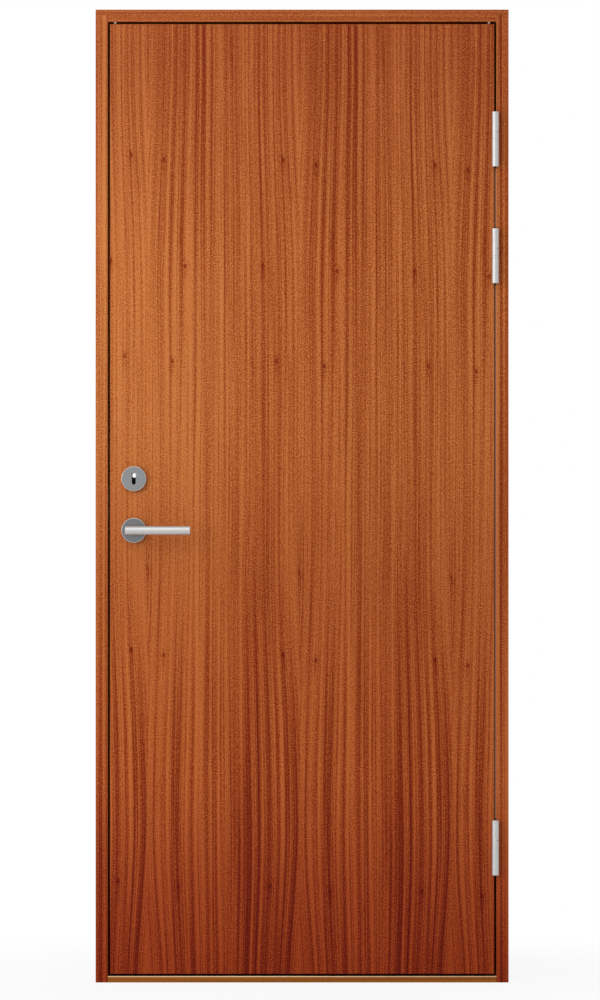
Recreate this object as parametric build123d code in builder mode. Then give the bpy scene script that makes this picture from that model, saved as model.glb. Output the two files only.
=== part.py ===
from build123d import *

import os
from math import cos, radians, sin, tan

# Hinged fire door: a flush leaf with a mortise lock, hung on lift-off hinges in a rebated timber frame.
# +X runs from the latch side to the hinge side, +Y from front to back and +Z up, in millimetres.
# The origin is the centre of the threshold's underside.

# Frame
frame_width = 885
frame_height = 2085
frame_depth = 105
frame_face = 26  # timber that shows beside and above the leaf
stop_width = 18  # how far the stops reach in behind the leaf
head_cover = 10.5  # how far the head lies over the ends of the jambs
frame_arris = 1.5  # bevel of the exposed corners
fixing_hole = 14
fixing_setback = 30  # from the front of the frame
fixing_reach = 130  # from the outer hinges to the outer fixings
fixing_count = 4

# Threshold
threshold_height = 13.5
threshold_stop_height = 26.5
threshold_arris = 3

# Leaf
leaf_gap = 5
leaf_thickness = 54
leaf_skin = 4
leaf_lipping = 10
leaf_bevel = 3  # degrees that the closing edge leans back, to pass the jamb
leaf_arris = 0.8

# Seals on the stops, and fire strips let into the rebates
stop_clearance = 6
gasket_clearance = 1
gasket_width = 9
gasket_inset = 1
gasket_bevel = 2.5
threshold_gasket_width = 7
threshold_gasket_inset = 0.5
strip_width = 15
strip_thickness = 2
strip_end_margin = 30
hinge_strip_setback = 4  # from the front of the frame
hinge_strip_margin = 2  # from the mortise of a hinge
head_strip_setback = 20
latch_strip_setback = 44
latch_strip_width = 12

# Hinges
top_hinge_drop = 247  # from the top of the leaf to the middle of the hinge
middle_hinge_drop = 497
bottom_hinge_rise = 270.5  # from the bottom of the leaf
hinge_height = 118
knuckle_diameter = 15
knuckle_clearance = 0.5
knuckle_arris = 1
hinge_pin = 8
hinge_pin_length = 45
pin_clearance = 0.05
pin_tip = 1
plate_thickness = 3
plate_depth = 40
plate_corner = 6
plate_clearance = 0.2
screw_seat = 3
screw_seat_depth = 2.4
screw_seat_rise = 15.5  # above the joint between the knuckles
screw_seat_turn = 42  # degrees round from the front

# Lock
lever_height = 969
key_rise = 110.5  # from the lever's axis to the middle of the key rose
backset = 51
case_depth = 84
case_thickness = 15
case_below_lever = 40
case_above_key = 45
case_clearance = 0.5
faceplate_width = 22
faceplate_thickness = 3
faceplate_margin = 20
faceplate_corner = 4
bolt_thickness = 12
bolt_depth = 13
bolt_clearance = 0.3
latch_bolt_rise = 38
latch_bolt_height = 26
dead_bolt_rise = 78
dead_bolt_height = 32
strike_width = 24
strike_play = 2
strike_pocket = 16
keyhole_top = 10
keyhole_bottom = 8.4
keyhole_length = 25
key_opening_margin = 2

# Lever handles
rose_diameter = 53
rose_thickness = 9
neck_diameter = 18
neck_clearance = 0.3
neck_start = 3  # from the face of the leaf
lever_standoff = 50
lever_diameter = 19
lever_tail = 17.5
lever_reach = 121.5
lever_arris = 0.8
spindle_width = 8
spindle_clearance = 0.1
spindle_grip = 22
follower_bore = 12.4
spindle_opening = 22

# Places that follow from the sizes
half_width = frame_width / 2
front = -frame_depth / 2
back = frame_depth / 2
rebate_x = half_width - frame_face
stop_x = rebate_x - stop_width
rebate_top = frame_height - frame_face
stop_top = rebate_top - stop_width
jamb_height = frame_height - head_cover
leaf_x = rebate_x - leaf_gap
leaf_top = rebate_top - leaf_gap
leaf_bottom = threshold_height + leaf_gap
leaf_back = front + leaf_thickness
leaf_middle = front + leaf_thickness / 2
stop_y = leaf_back + stop_clearance
hinge_x = rebate_x - leaf_gap / 2
hinge_y = front - knuckle_diameter / 2 - knuckle_clearance
top_hinge = leaf_top - top_hinge_drop
middle_hinge = leaf_top - middle_hinge_drop
bottom_hinge = leaf_bottom + bottom_hinge_rise
hinges = {"top_hinge": top_hinge, "middle_hinge": middle_hinge, "bottom_hinge": bottom_hinge}
lock_x = backset - leaf_x
key_height = lever_height + key_rise
key_opening_width = keyhole_top + 2 * key_opening_margin
key_opening_length = keyhole_length + 2 * key_opening_margin
case_bottom = lever_height - case_below_lever
case_top = key_height + case_above_key
faceplate_height = case_top - case_bottom + 2 * faceplate_margin
faceplate_middle = (case_top + case_bottom) / 2
bolts = {
    "latch_bolt": (lever_height + latch_bolt_rise, latch_bolt_height),
    "dead_bolt": (lever_height + dead_bolt_rise, dead_bolt_height),
}
leaf_front_plane = Plane.XZ.offset(-front)
leaf_middle_plane = Plane.XZ.offset(-leaf_middle)


def closing_edge(y):
    """X of the leaf's bevelled closing edge at this depth."""
    return (y - front) * tan(radians(leaf_bevel)) - leaf_x


faceplate_x = closing_edge(leaf_middle + faceplate_width / 2)
case_x = faceplate_x + faceplate_thickness


def write(piece, name):
    """Label a finished piece and write it as a file of its own."""
    piece.part.label = name
    export_step(piece.part, f"parts/{name}.step")


def block(x, y, z, mode=Mode.ADD):
    """Rectangular block between two limits along each axis."""
    limits = [sorted(pair) for pair in (x, y, z)]
    with Locations(tuple(low for low, high in limits)):
        Box(*(high - low for low, high in limits), align=(Align.MIN,) * 3, mode=mode)


def outline(points):
    """Closed outline through these points, as a face of the current sketch."""
    with BuildLine() as edge:
        Polyline(*points, close=True)
    make_face(edge.edges())


def corners_at(points):
    """Corners of the current sketch that lie at these points."""
    places = [Vector(*point) for point in points]
    return [v for v in vertices() if min((Vector(v) - p).length for p in places) < 1e-6]


def jamb_plan(side):
    """Plan of a jamb: the rebate that takes the leaf, and the stop behind it."""
    corners = [
        (half_width, front),
        (rebate_x, front),
        (rebate_x, stop_y),
        (stop_x, stop_y),
        (stop_x, back),
        (half_width, back),
    ]
    outline([(side * x, y) for x, y in corners])


def jamb_timber(side):
    """A jamb before it is mortised, with its fixing holes, on one side of the doorway."""
    exposed = [(rebate_x, front), (stop_x, stop_y), (stop_x, back)]
    with BuildSketch() as plan:
        jamb_plan(side)
        chamfer(corners_at([(side * x, y) for x, y in exposed]), frame_arris)
    extrude(plan.sketch, amount=jamb_height)
    lowest = bottom_hinge - fixing_reach
    highest = top_hinge + fixing_reach
    spacing = (highest - lowest) / (fixing_count - 1)
    with BuildSketch(Plane.YZ) as holes:
        with Locations((front + fixing_setback, (lowest + highest) / 2)):
            with GridLocations(fixing_hole, spacing, 1, fixing_count):
                Circle(fixing_hole / 2)
    extrude(holes.sketch, amount=side * half_width, mode=Mode.SUBTRACT)


def cut_both_jambs():
    """Take the jambs out of a member that runs between or over them."""
    with BuildSketch() as plan:
        jamb_plan(-1)
        jamb_plan(1)
    extrude(plan.sketch, amount=jamb_height, mode=Mode.SUBTRACT)


def strip_in_rebate(side, setback, width, z, mode=Mode.ADD):
    """A fire strip flush with the face of a rebate, or the groove for it."""
    y = (front + setback, front + setback + width)
    block((side * rebate_x, side * (rebate_x + strip_thickness)), y, z, mode)


def hinge_plate(x, thickness, z, grow=0, mode=Mode.ADD):
    """The plate of a hinge, let in from the front, or the mortise for it when grown."""
    with BuildSketch(Plane.YZ.offset(x)) as plate:
        with Locations((front, z)):
            Rectangle(plate_depth + grow, hinge_height + 2 * grow, align=(Align.MIN, Align.CENTER))
        fillet(vertices().sort_by(Axis.X)[-2:], plate_corner + grow)
    extrude(plate.sketch, amount=thickness, mode=mode)


def lock_plate(x, width, thickness, grow=0, mode=Mode.ADD):
    """A lock's faceplate or strike plate, or the recess for it when grown."""
    with BuildSketch(Plane.YZ.offset(x)) as plate:
        with Locations((leaf_middle, faceplate_middle)):
            RectangleRounded(width + 2 * grow, faceplate_height + 2 * grow, faceplate_corner + grow)
    extrude(plate.sketch, amount=thickness, mode=mode)


def bolt_blocks(x, grow, mode=Mode.SUBTRACT):
    """Openings for both bolts between two limits along X."""
    half = bolt_thickness / 2 + grow
    for height, length in bolts.values():
        z = (height - length / 2 - grow, height + length / 2 + grow)
        block(x, (leaf_middle - half, leaf_middle + half), z, mode)


def cut_keyhole():
    """Take a keyhole out of the current sketch: a round top and a narrower slot with a round end."""
    top = (keyhole_length - keyhole_top) / 2
    bottom = (keyhole_bottom - keyhole_length) / 2
    with Locations((lock_x, key_height)):
        with Locations((0, top)):
            Circle(keyhole_top / 2, mode=Mode.SUBTRACT)
        with Locations((0, bottom)):
            Circle(keyhole_bottom / 2, mode=Mode.SUBTRACT)
        with Locations((0, (top + bottom) / 2)):
            Rectangle(keyhole_bottom, top - bottom, mode=Mode.SUBTRACT)


def cut_lock_openings():
    """Holes through a skin of the leaf for the spindle and the key."""
    with BuildSketch(leaf_front_plane) as openings:
        with Locations((lock_x, lever_height)):
            Circle(spindle_opening / 2)
        with Locations((lock_x, key_height)):
            SlotOverall(key_opening_length, key_opening_width, rotation=90)
    extrude(openings.sketch, amount=-leaf_thickness, mode=Mode.SUBTRACT)


def cut_core_windows():
    """Square-cornered windows in the core behind the holes in the skins."""
    with BuildSketch(leaf_front_plane) as windows:
        with Locations((lock_x, lever_height)):
            Rectangle(spindle_opening, spindle_opening)
        with Locations((lock_x, key_height)):
            Rectangle(key_opening_width, key_opening_length)
    extrude(windows.sketch, amount=-leaf_thickness, mode=Mode.SUBTRACT)


def leaf_slab(near, far):
    """A full-size layer of the leaf between two depths, with its closing edge on the bevel."""
    with BuildSketch(Plane.XY.offset(leaf_bottom)) as plan:
        outline([(closing_edge(near), near), (leaf_x, near), (leaf_x, far), (closing_edge(far), far)])
    extrude(plan.sketch, amount=leaf_top - leaf_bottom)


def cut_leaf_hinges():
    """Mortises for the hinge plates in the leaf's hinge edge."""
    for z in hinges.values():
        hinge_plate(leaf_x, -plate_thickness, z, plate_clearance, Mode.SUBTRACT)


def knuckle(low, high):
    """Barrel of half a hinge, between two heights."""
    with BuildSketch(Plane.XY.offset(low)) as barrel:
        with Locations((hinge_x, hinge_y)):
            Circle(knuckle_diameter / 2)
    extrude(barrel.sketch, amount=high - low)


os.makedirs("parts", exist_ok=True)

# Frame: the latch jamb takes the strike, the hinge jamb the hinge plates
strip_z = (threshold_height + strip_end_margin, rebate_top - strip_end_margin)
with BuildPart() as latch_jamb:
    jamb_timber(-1)
    strip_in_rebate(-1, latch_strip_setback, latch_strip_width, strip_z, Mode.SUBTRACT)
    lock_plate(-rebate_x, strike_width, -plate_thickness, plate_clearance, Mode.SUBTRACT)
    bolt_blocks((-rebate_x, -rebate_x - strike_pocket), strike_play)
write(latch_jamb, "latch_jamb")

hinge_edge_offset = hinge_height / 2 + plate_clearance + hinge_strip_margin
hinge_strips = {
    "hinge_fire_strip_upper": (middle_hinge + hinge_edge_offset, top_hinge - hinge_edge_offset),
    "hinge_fire_strip_lower": (bottom_hinge + hinge_edge_offset, middle_hinge - hinge_edge_offset),
}
with BuildPart() as hinge_jamb:
    jamb_timber(1)
    for z in hinge_strips.values():
        strip_in_rebate(1, hinge_strip_setback, strip_width, z, Mode.SUBTRACT)
    for z in hinges.values():
        hinge_plate(rebate_x, plate_thickness, z, plate_clearance, Mode.SUBTRACT)
write(hinge_jamb, "hinge_jamb")

# The head is rebated like the jambs and lies over their ends
head_strip_x = (strip_end_margin - rebate_x, rebate_x - strip_end_margin)
head_strip_y = (front + head_strip_setback, front + head_strip_setback + strip_width)
head_strip_z = (rebate_top, rebate_top + strip_thickness)
with BuildPart() as frame_head:
    with BuildSketch(Plane.YZ.offset(-half_width)):
        outline(
            [
                (front, frame_height),
                (front, rebate_top),
                (stop_y, rebate_top),
                (stop_y, stop_top),
                (back, stop_top),
                (back, frame_height),
            ]
        )
        chamfer(corners_at([(front, rebate_top), (stop_y, stop_top), (back, stop_top)]), frame_arris)
    extrude(amount=frame_width)
    cut_both_jambs()
    block(head_strip_x, head_strip_y, head_strip_z, Mode.SUBTRACT)
write(frame_head, "frame_head")

with BuildPart() as threshold:
    with BuildSketch(Plane.YZ.offset(-rebate_x)):
        outline(
            [
                (front, 0),
                (front, threshold_height),
                (stop_y, threshold_height),
                (stop_y, threshold_stop_height),
                (back, threshold_stop_height),
                (back, 0),
            ]
        )
        fillet(corners_at([(front, threshold_height), (back, threshold_stop_height)]), threshold_arris)
        chamfer(corners_at([(stop_y, threshold_stop_height)]), frame_arris)
    extrude(amount=2 * rebate_x)
    cut_both_jambs()
write(threshold, "threshold")

# Gaskets stand on the faces of the stops and narrow towards the leaf
gasket_height = stop_clearance - gasket_clearance
gasket_inner = stop_x + gasket_inset
gasket_top = stop_top + gasket_inset + gasket_width
for side, name in [(-1, "latch_jamb_gasket"), (1, "hinge_jamb_gasket")]:
    with BuildPart() as jamb_gasket:
        with BuildSketch(Plane.XY.offset(threshold_height)):
            with Locations((side * (gasket_inner + gasket_width / 2), stop_y)):
                Rectangle(gasket_width, gasket_height, align=(Align.CENTER, Align.MAX))
            chamfer(vertices().sort_by(Axis.Y)[:2], gasket_bevel)
        extrude(amount=gasket_top - threshold_height)
    write(jamb_gasket, name)

threshold_gasket_top = threshold_stop_height - threshold_gasket_inset
cross_gaskets = {
    "head_gasket": (gasket_top, gasket_width),
    "threshold_gasket": (threshold_gasket_top, threshold_gasket_width),
}
for name, (top, width) in cross_gaskets.items():
    with BuildPart() as cross_gasket:
        with BuildSketch(Plane.YZ.offset(-gasket_inner)):
            with Locations((stop_y, top)):
                Rectangle(gasket_height, width, align=(Align.MAX, Align.MAX))
            chamfer(vertices().sort_by(Axis.X)[:2], gasket_bevel)
        extrude(amount=2 * gasket_inner)
    write(cross_gasket, name)

# Fire strips, flush with the rebates
with BuildPart() as latch_jamb_fire_strip:
    strip_in_rebate(-1, latch_strip_setback, latch_strip_width, strip_z)
write(latch_jamb_fire_strip, "latch_jamb_fire_strip")

for name, z in hinge_strips.items():
    with BuildPart() as hinge_fire_strip:
        strip_in_rebate(1, hinge_strip_setback, strip_width, z)
    write(hinge_fire_strip, name)

with BuildPart() as head_fire_strip:
    block(head_strip_x, head_strip_y, head_strip_z)
write(head_fire_strip, "head_fire_strip")

with BuildPart() as strike_plate:
    lock_plate(-rebate_x, strike_width, -plate_thickness)
    bolt_blocks((-rebate_x, -rebate_x - plate_thickness), strike_play)
write(strike_plate, "strike_plate")

# Lift-off hinges: the frame's half carries the pin, the leaf's half drops over it
for name, middle in hinges.items():
    joint_low = middle - knuckle_clearance / 2
    joint_high = middle + knuckle_clearance / 2
    barrel_low = middle - hinge_height / 2
    barrel_high = middle + hinge_height / 2

    with BuildPart() as frame_half:
        knuckle(barrel_low, joint_low)
        chamfer(edges().filter_by(GeomType.CIRCLE).sort_by(Axis.Z)[0], knuckle_arris)
        with BuildSketch(Plane.XY.offset(joint_low)):
            with Locations((hinge_x, hinge_y)):
                Circle(hinge_pin / 2)
        extrude(amount=hinge_pin_length)
        chamfer(edges().filter_by(GeomType.CIRCLE).sort_by(Axis.Z)[-1], pin_tip)
        hinge_plate(rebate_x, plate_thickness, middle)
        web_z = (barrel_low + knuckle_arris, joint_low)
        block((rebate_x, rebate_x + plate_thickness), (hinge_y, front), web_z)
    write(frame_half, f"{name}_frame_half")

    seat_direction = Vector(sin(radians(screw_seat_turn)), -cos(radians(screw_seat_turn)), 0)
    seat_plane = Plane((hinge_x, hinge_y, middle + screw_seat_rise), x_dir=(0, 0, 1), z_dir=seat_direction)
    with BuildPart() as leaf_half:
        knuckle(joint_high, barrel_high)
        chamfer(edges().filter_by(GeomType.CIRCLE).sort_by(Axis.Z)[-1], knuckle_arris)
        hinge_plate(leaf_x, -plate_thickness, middle)
        web_z = (joint_high, barrel_high - knuckle_arris)
        block((leaf_x - plate_thickness, leaf_x), (hinge_y, front), web_z)
        with BuildSketch(Plane.XY.offset(joint_high)):
            with Locations((hinge_x, hinge_y)):
                Circle(hinge_pin / 2 + pin_clearance)
        extrude(amount=hinge_pin_length, mode=Mode.SUBTRACT)
        with BuildSketch(seat_plane.offset(knuckle_diameter / 2 - screw_seat_depth)):
            Circle(screw_seat / 2)
        extrude(amount=knuckle_diameter / 2, mode=Mode.SUBTRACT)
    write(leaf_half, f"{name}_leaf_half")

# Leaf: two skins over a core that solid lippings frame
skin_front = front + leaf_skin
skin_back = leaf_back - leaf_skin
core_x = leaf_x - leaf_lipping
core_bottom = leaf_bottom + leaf_lipping
core_top = leaf_top - leaf_lipping
mortise_half = case_thickness / 2 + case_clearance
mortise_y = (leaf_middle - mortise_half, leaf_middle + mortise_half)
mortise_z = (case_bottom - case_clearance, case_top + case_clearance)
mortise_x = (case_x, case_x + case_depth + case_clearance)

with BuildPart() as front_face:
    leaf_slab(front, skin_front)
    chamfer(edges().group_by(Axis.Y)[0], leaf_arris)
    cut_leaf_hinges()
    cut_lock_openings()
write(front_face, "front_face")

with BuildPart() as back_face:
    leaf_slab(skin_back, leaf_back)
    chamfer(edges().group_by(Axis.Y)[-1], leaf_arris)
    cut_lock_openings()
write(back_face, "back_face")

with BuildPart() as leaf_core:
    block((-core_x, core_x), (skin_front, skin_back), (core_bottom, core_top))
    block(mortise_x, mortise_y, mortise_z, Mode.SUBTRACT)
    cut_core_windows()
write(leaf_core, "leaf_core")

with BuildPart() as latch_edge:
    with BuildSketch(Plane.XY.offset(leaf_bottom)):
        bevel = [(closing_edge(y), y) for y in (skin_front, skin_back)]
        outline([*bevel, (-core_x, skin_back), (-core_x, skin_front)])
    extrude(amount=leaf_top - leaf_bottom)
    lock_plate(case_x, faceplate_width, -leaf_lipping, plate_clearance, Mode.SUBTRACT)
    block(mortise_x, mortise_y, mortise_z, Mode.SUBTRACT)
write(latch_edge, "latch_edge")

with BuildPart() as hinge_edge:
    block((core_x, leaf_x), (skin_front, skin_back), (leaf_bottom, leaf_top))
    cut_leaf_hinges()
write(hinge_edge, "hinge_edge")

for name, z in [("top_edge", (core_top, leaf_top)), ("bottom_edge", (leaf_bottom, core_bottom))]:
    with BuildPart() as cross_edge:
        block((-core_x, core_x), (skin_front, skin_back), z)
    write(cross_edge, name)

# Lock: a case behind a faceplate, with both bolts drawn in
with BuildPart() as lock_case:
    case_half = case_thickness / 2
    case_y = (leaf_middle - case_half, leaf_middle + case_half)
    block((case_x, case_x + case_depth), case_y, (case_bottom, case_top))
    bolt_blocks((case_x, faceplate_x + bolt_depth), bolt_clearance)
    with BuildSketch(leaf_middle_plane):
        with Locations((lock_x, lever_height)):
            Circle(follower_bore / 2)
        with Locations((lock_x, key_height + (keyhole_length - keyhole_top) / 2)):
            Circle(keyhole_top / 2)
    extrude(amount=case_thickness, both=True, mode=Mode.SUBTRACT)
write(lock_case, "lock_case")

with BuildPart() as lock_faceplate:
    lock_plate(faceplate_x, faceplate_width, faceplate_thickness)
    bolt_blocks((faceplate_x, case_x), bolt_clearance)
write(lock_faceplate, "lock_faceplate")

for name, (height, length) in bolts.items():
    with BuildPart() as bolt:
        half = bolt_thickness / 2
        z = (height - length / 2, height + length / 2)
        block((faceplate_x, faceplate_x + bolt_depth), (leaf_middle - half, leaf_middle + half), z)
    write(bolt, name)

# Roses and levers, the same on both sides of the leaf
with BuildPart() as front_key_rose:
    with BuildSketch(leaf_front_plane):
        with Locations((lock_x, key_height)):
            Circle(rose_diameter / 2)
        cut_keyhole()
    extrude(amount=rose_thickness)

with BuildPart() as front_lever_rose:
    with BuildSketch(leaf_front_plane):
        with Locations((lock_x, lever_height)):
            Circle(rose_diameter / 2)
            Circle(neck_diameter / 2 + neck_clearance, mode=Mode.SUBTRACT)
    extrude(amount=rose_thickness)

with BuildPart() as front_lever:
    with BuildSketch(leaf_front_plane.offset(neck_start)):
        with Locations((lock_x, lever_height)):
            Circle(neck_diameter / 2)
    extrude(amount=lever_standoff - neck_start)
    with BuildSketch(Plane.YZ.offset(lock_x - lever_tail)):
        with Locations((front - lever_standoff, lever_height)):
            Circle(lever_diameter / 2)
    extrude(amount=lever_tail + lever_reach)
    bar_ends = faces().filter_by(Axis.X)
    chamfer(bar_ends.edges(), lever_arris)
    with BuildSketch(leaf_front_plane.offset(neck_start)):
        with Locations((lock_x, lever_height)):
            Rectangle(spindle_width + 2 * spindle_clearance, spindle_width + 2 * spindle_clearance)
    extrude(amount=spindle_grip + spindle_clearance, mode=Mode.SUBTRACT)

for piece, name in [(front_key_rose, "key_rose"), (front_lever_rose, "lever_rose"), (front_lever, "lever")]:
    write(piece, f"front_{name}")
    with BuildPart() as back_piece:
        mirror(piece.part, about=leaf_middle_plane)
    write(back_piece, f"back_{name}")

with BuildPart() as spindle:
    spindle_half = leaf_thickness / 2 + neck_start + spindle_grip
    with Locations((lock_x, leaf_middle, lever_height)):
        Box(spindle_width, 2 * spindle_half, spindle_width)
write(spindle, "spindle")
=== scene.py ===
# %% [markdown]
# # A veneered fire door
# A flush fire door hangs on three lift-off hinges in a rebated timber frame. The construction is
# already finished at its real size, so this lesson gives every surface its wood, rubber or metal, and
# adds the small fasteners. The loaded pieces are never moved, and their box is kept.

# %% Load the door
from math import cos, radians, sin, tau

import bmesh
import bpy
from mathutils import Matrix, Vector


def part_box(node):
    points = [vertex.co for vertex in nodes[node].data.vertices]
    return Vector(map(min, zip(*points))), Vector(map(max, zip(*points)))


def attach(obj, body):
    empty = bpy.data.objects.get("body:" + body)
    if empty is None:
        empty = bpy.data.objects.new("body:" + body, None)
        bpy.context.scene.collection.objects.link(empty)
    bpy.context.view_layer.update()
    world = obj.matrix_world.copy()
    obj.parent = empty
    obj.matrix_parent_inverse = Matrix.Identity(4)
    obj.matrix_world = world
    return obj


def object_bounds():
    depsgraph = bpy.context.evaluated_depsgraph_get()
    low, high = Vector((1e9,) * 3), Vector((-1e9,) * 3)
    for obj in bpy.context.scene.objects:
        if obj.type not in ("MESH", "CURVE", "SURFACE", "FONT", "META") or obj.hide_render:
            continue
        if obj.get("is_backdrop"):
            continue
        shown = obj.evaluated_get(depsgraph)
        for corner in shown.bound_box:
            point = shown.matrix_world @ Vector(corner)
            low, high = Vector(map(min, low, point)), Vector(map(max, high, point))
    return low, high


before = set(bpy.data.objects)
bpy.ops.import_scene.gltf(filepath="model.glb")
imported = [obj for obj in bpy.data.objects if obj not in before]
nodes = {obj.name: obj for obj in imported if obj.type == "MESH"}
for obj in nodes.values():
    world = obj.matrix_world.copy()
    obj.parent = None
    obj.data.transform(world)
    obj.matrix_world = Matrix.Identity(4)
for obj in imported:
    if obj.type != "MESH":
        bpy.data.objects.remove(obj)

cad_low, cad_high = (Vector(corner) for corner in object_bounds())
print("loaded", len(nodes), "pieces, box", tuple(cad_low), tuple(cad_high))

# %% [markdown]
# ## Where the camera stands
# The door is seen square on, with nothing converging, so the camera is level, far away and on a long
# lens. The picture is 600 by 1000. Two rows and one column of it, read off the frame's own edges, say
# how many metres a pixel is and which point of the door lies in the middle, and the lens follows from
# the distance.

# %% Camera
image_width, image_height = 600, 1000
frame_top_row, frame_foot_row = 9.6, 982.5
frame_middle_column = 302.1
camera_distance = 12.0
sensor_size = 36.0

frame_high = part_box("frame_head")[1].z
frame_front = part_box("latch_jamb")[0].y
pixel = frame_high / (frame_foot_row - frame_top_row)
middle_x = (image_width / 2 - frame_middle_column) * pixel
middle_z = (frame_foot_row - image_height / 2) * pixel

camera_data = bpy.data.cameras.new("camera")
camera_data.sensor_width = sensor_size
camera_data.lens = sensor_size * camera_distance / (image_height * pixel)
camera = bpy.data.objects.new("camera", camera_data)
camera.location = (middle_x, frame_front - camera_distance, middle_z)
camera.rotation_euler = (radians(90), 0, 0)
bpy.context.scene.collection.objects.link(camera)
bpy.context.scene.camera = camera
print(f"one pixel is {pixel * 1000:.3f} mm, lens {camera_data.lens:.1f} mm")

# %% [markdown]
# ## Sums with sockets
# A procedural finish is mostly arithmetic on the place of a point. Linking Math nodes one by one hides
# that arithmetic, so a small class wraps a socket and lets plus, minus, times and divide add the nodes.
# One method adds a node of any other kind: its settings come first, because they decide which sockets
# it has.


# %% A socket that does sums
class Shade:
    """A node's output. Operators add Math nodes to the same tree."""

    def __init__(self, tree, socket):
        self.tree = tree
        self.socket = socket

    def node(self, kind, settings, sockets, output=0):
        """Add a node of any kind, set it up, feed its sockets and return one of its outputs."""
        made = self.tree.nodes.new(kind)
        for name, value in settings.items():
            if name == "stops":
                set_stops(made.color_ramp, value)
            else:
                setattr(made, name, value)
        for key, value in sockets.items():
            if isinstance(value, Shade):
                self.tree.links.new(value.socket, made.inputs[key])
            else:
                made.inputs[key].default_value = value
        return Shade(self.tree, made.outputs[output])

    def math(self, operation, *values):
        """A Math node on these values."""
        return self.node("ShaderNodeMath", {"operation": operation}, dict(enumerate(values)))

    def __add__(self, other):
        return self.math("ADD", self, other)

    def __sub__(self, other):
        return self.math("SUBTRACT", self, other)

    def __rsub__(self, other):
        return self.math("SUBTRACT", other, self)

    def __mul__(self, other):
        return self.math("MULTIPLY", self, other)

    def __truediv__(self, other):
        return self.math("DIVIDE", self, other)

    def __abs__(self):
        return self.math("ABSOLUTE", self)

    __radd__ = __add__
    __rmul__ = __mul__


def set_stops(ramp, stops):
    """Give a colour ramp these stops: a place from 0 to 1, and a grey level or a colour."""
    while len(ramp.elements) < len(stops):
        ramp.elements.new(1.0)
    for element, (place, colour) in zip(ramp.elements, stops):
        element.position = place
        element.color = (*colour, 1) if isinstance(colour, tuple) else (colour, colour, colour, 1)


def srgb(red, green, blue):
    """A colour as it is written for screens, from 0 to 255, in the renderer's linear numbers."""
    levels = [v / 255 for v in (red, green, blue)]
    return tuple(v / 12.92 if v < 0.0404 else ((v + 0.055) / 1.055) ** 2.4 for v in levels)


print("a mid brown in linear numbers:", [round(v, 3) for v in srgb(173, 95, 51)])

# %% [markdown]
# ## Starting a material
# Every finish here ends in one Principled shader. Numbers that are the same all over go straight onto
# its own sockets. What changes over the surface is linked by the finish itself. Object coordinates are
# metres on the door, so a pattern keeps its real scale and turns with the leaf when it opens.


# %% Start and finish a material
def start_material(name):
    """A new material's tree with only a Principled shader, and the place of a point as x, y and z."""
    material = bpy.data.materials.new(name)
    material.use_nodes = True
    tree = material.node_tree
    place = Shade(tree, None).node("ShaderNodeTexCoord", {}, {}, "Object")
    split = [place.node("ShaderNodeSeparateXYZ", {}, {"Vector": place}, axis) for axis in "XYZ"]
    return material, place, split


def set_surface(material, **sockets):
    """Set or link sockets of the material's Principled shader, with underscores for spaces."""
    tree = material.node_tree
    shader = tree.nodes["Principled BSDF"]
    for name, value in sockets.items():
        socket = shader.inputs[name.replace("_", " ")]
        if isinstance(value, Shade):
            tree.links.new(value.socket, socket)
        else:
            socket.default_value = value


def smooth_step(value, low, high):
    """0 below low, 1 above high and a smooth rise between."""
    sockets = {"Value": value, "From Min": low, "From Max": high}
    return value.node("ShaderNodeMapRange", {"interpolation_type": "SMOOTHSTEP"}, sockets)


def blend_colours(factor, first, second, how="MIX"):
    """Two colours mixed by a factor."""
    first, second = (v if isinstance(v, Shade) else (*v, 1) for v in (first, second))
    tree_owner = next(v for v in (factor, first, second) if isinstance(v, Shade))
    settings = {"data_type": "RGBA", "blend_type": how}
    return tree_owner.node("ShaderNodeMix", settings, {0: factor, 6: first, 7: second}, 2)


def bumps(height, depth, strength=1.0):
    """A height from 0 to 1 as bumps of this depth in metres."""
    sockets = {"Strength": strength, "Distance": depth, "Height": height}
    return height.node("ShaderNodeBump", {}, sockets)


# %% [markdown]
# ## White surroundings
# The door stands before plain white. A world as bright as that would wash out the wood, so it is white
# only to rays that come straight from the camera, off metal or through glass. All other rays meet an
# even, dimmer fill light.

# %% World
fill_level = 0.46
white_rays = ("Camera", "Glossy", "Transmission")


def seen_rays(owner, *kinds):
    """1 for rays of these kinds, such as those straight to the camera, and 0 for all others."""
    rays = [owner.node("ShaderNodeLightPath", {}, {}, f"Is {kind} Ray") for kind in kinds]
    return sum(rays[1:], rays[0])


world = bpy.data.worlds.new("studio")
world.use_nodes = True
bpy.context.scene.world = world
sky = world.node_tree
start = Shade(sky, None)
fill_light = start.node("ShaderNodeBackground", {}, {"Color": (fill_level, fill_level, fill_level, 1)})
white_light = start.node("ShaderNodeBackground", {}, {"Color": (1, 1, 1, 1)})
sides = {0: seen_rays(start, *white_rays), 1: fill_light, 2: white_light}
both = start.node("ShaderNodeMixShader", {}, sides)
sky.links.new(both.socket, sky.nodes["World Output"].inputs["Surface"])
print(f"fill light at {fill_level}, white for", *white_rays, "rays")

# %% [markdown]
# ## Lamps
# The hinge barrels are brightest left of their middle and shade the jamb on their right, and the lever
# is bright along its upper half. So one soft lamp stands to the left, and a large one hangs high in
# front. A third stands behind the door, so that its back and its rebates can be read too.


# %% Lamps
def soft_lamp(name, place, target, size, power):
    """A square area lamp at one point, aimed at another."""
    data = bpy.data.lights.new(name, "AREA")
    data.size = size
    data.energy = power
    lamp = bpy.data.objects.new(name, data)
    lamp.location = place
    lamp.rotation_euler = (target - place).to_track_quat("-Z", "Y").to_euler()
    bpy.context.scene.collection.objects.link(lamp)
    print(f"{name} stands {(target - place).length:.1f} m from the door")


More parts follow.
